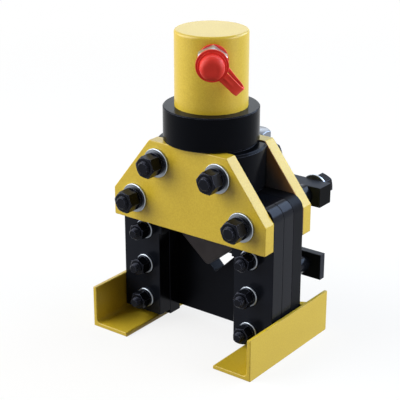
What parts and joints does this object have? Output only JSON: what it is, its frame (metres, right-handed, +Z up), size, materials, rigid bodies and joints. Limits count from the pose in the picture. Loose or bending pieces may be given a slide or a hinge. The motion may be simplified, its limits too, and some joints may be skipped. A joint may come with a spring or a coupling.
{
  "type": "hydraulic angle steel cutter",
  "caption": "Upright hydraulic shear for angle steel: a ram drives a V-shaped blade past a V-notched die between two bolted columns on angle-section feet, with a rear stock hold-down screw.",
  "frame": {"origin": "middle of the footprint on the floor", "axes": "+Z up along the ram, +X to the right seen from the front, +Y to the rear, where the stock goes in"},
  "size_m": [0.2334, 0.2154, 0.3731],
  "materials": {
    "yellow_enamel": "satin yellow enamel",
    "black_steel": "black oxide, lightly oiled",
    "tool_steel": "hardened and ground tool steel",
    "zinc_steel": "bright zinc plate",
    "bright_steel": "ground bright steel",
    "bronze": "turned bronze",
    "nitrile_rubber": "matte moulded rubber",
    "red_plastic": "moulded red plastic"
  },
  "bodies": {
    "frame": {"bar_locks": "black_steel", "bar_nuts": "black_steel", "bar_spacers": "black_steel", "bar_washers": "zinc_steel", "cap_strap": "red_plastic", "cylinder_barrel": "yellow_enamel", "cylinder_seat": "black_steel", "die_plate": "black_steel", "foot_screws": "zinc_steel", "front_leg_locks": "black_steel", "front_leg_nuts": "black_steel", "front_leg_washers": "zinc_steel", "front_main_locks": "black_steel", "front_main_nuts": "black_steel", "front_main_washers": "zinc_steel", "front_plate": "yellow_enamel", "guide_bush": "bronze", "hold_down_bar": "black_steel", "hose_coupler": "zinc_steel", "left_foot": "yellow_enamel", "left_guide_bar": "black_steel", "left_spacer_bar": "black_steel", "long_leg_studs": "black_steel", "lower_studs": "black_steel", "port_nipple": "zinc_steel", "rear_leg_nuts": "black_steel", "rear_leg_washers": "zinc_steel", "rear_main_nuts": "black_steel", "rear_main_washers": "zinc_steel", "rear_plate": "yellow_enamel", "rest_nuts": "black_steel", "rest_spacers": "black_steel", "rest_washers": "zinc_steel", "return_spring": "bright_steel", "right_foot": "yellow_enamel", "right_guide_bar": "black_steel", "right_spacer_bar": "black_steel", "rod_wiper": "nitrile_rubber", "short_leg_studs": "black_steel", "stock_rest": "black_steel", "upper_studs": "black_steel"},
    "ram": {"ram_rod": "bright_steel", "piston": "bright_steel", "piston_seal": "nitrile_rubber", "moving_blade": "tool_steel", "blade_pin": "bright_steel"},
    "press_shoe": {"press_shoe": "black_steel"},
    "hold_down_screw": {"hold_down_screw": "zinc_steel"},
    "dust_cap": {"dust_cap": "red_plastic"},
    "coupler_poppet": {"coupler_poppet": "bright_steel"}
  },
  "joints": [
    {"name": "blade_stroke", "type": "slide", "parent": "frame", "child": "ram", "axis": [0, 0, -1], "range_m": [0, 0.02], "stiffness_N_per_m": 20000, "springref_m": -0.01, "deforming": ["return_spring"]},
    {"name": "hold_down_feed", "type": "slide", "parent": "frame", "child": "press_shoe", "axis": [0, 0, -1], "range_m": [0, 0.026]},
    {"name": "hold_down_turn", "type": "hinge", "parent": "press_shoe", "child": "hold_down_screw", "pos_m": [0, 0.06895, 0.124], "axis": [0, 0, -1], "range_deg": [0, 3740]},
    {"name": "dust_cap_pull", "type": "slide", "parent": "frame", "child": "dust_cap", "axis": [0.6018, -0.7986, 0], "range_m": [0, 0.022], "deforming": ["cap_strap"]},
    {"name": "poppet_press", "type": "slide", "parent": "frame", "child": "coupler_poppet", "axis": [-0.6018, 0.7986, 0], "range_m": [0, 0.003], "stiffness_N_per_m": 800, "springref_m": -0.004}
  ],
  "couplings": [
    {"joint": "hold_down_feed", "follows": "hold_down_turn", "m_per_rad": 0.00039789}
  ]
}
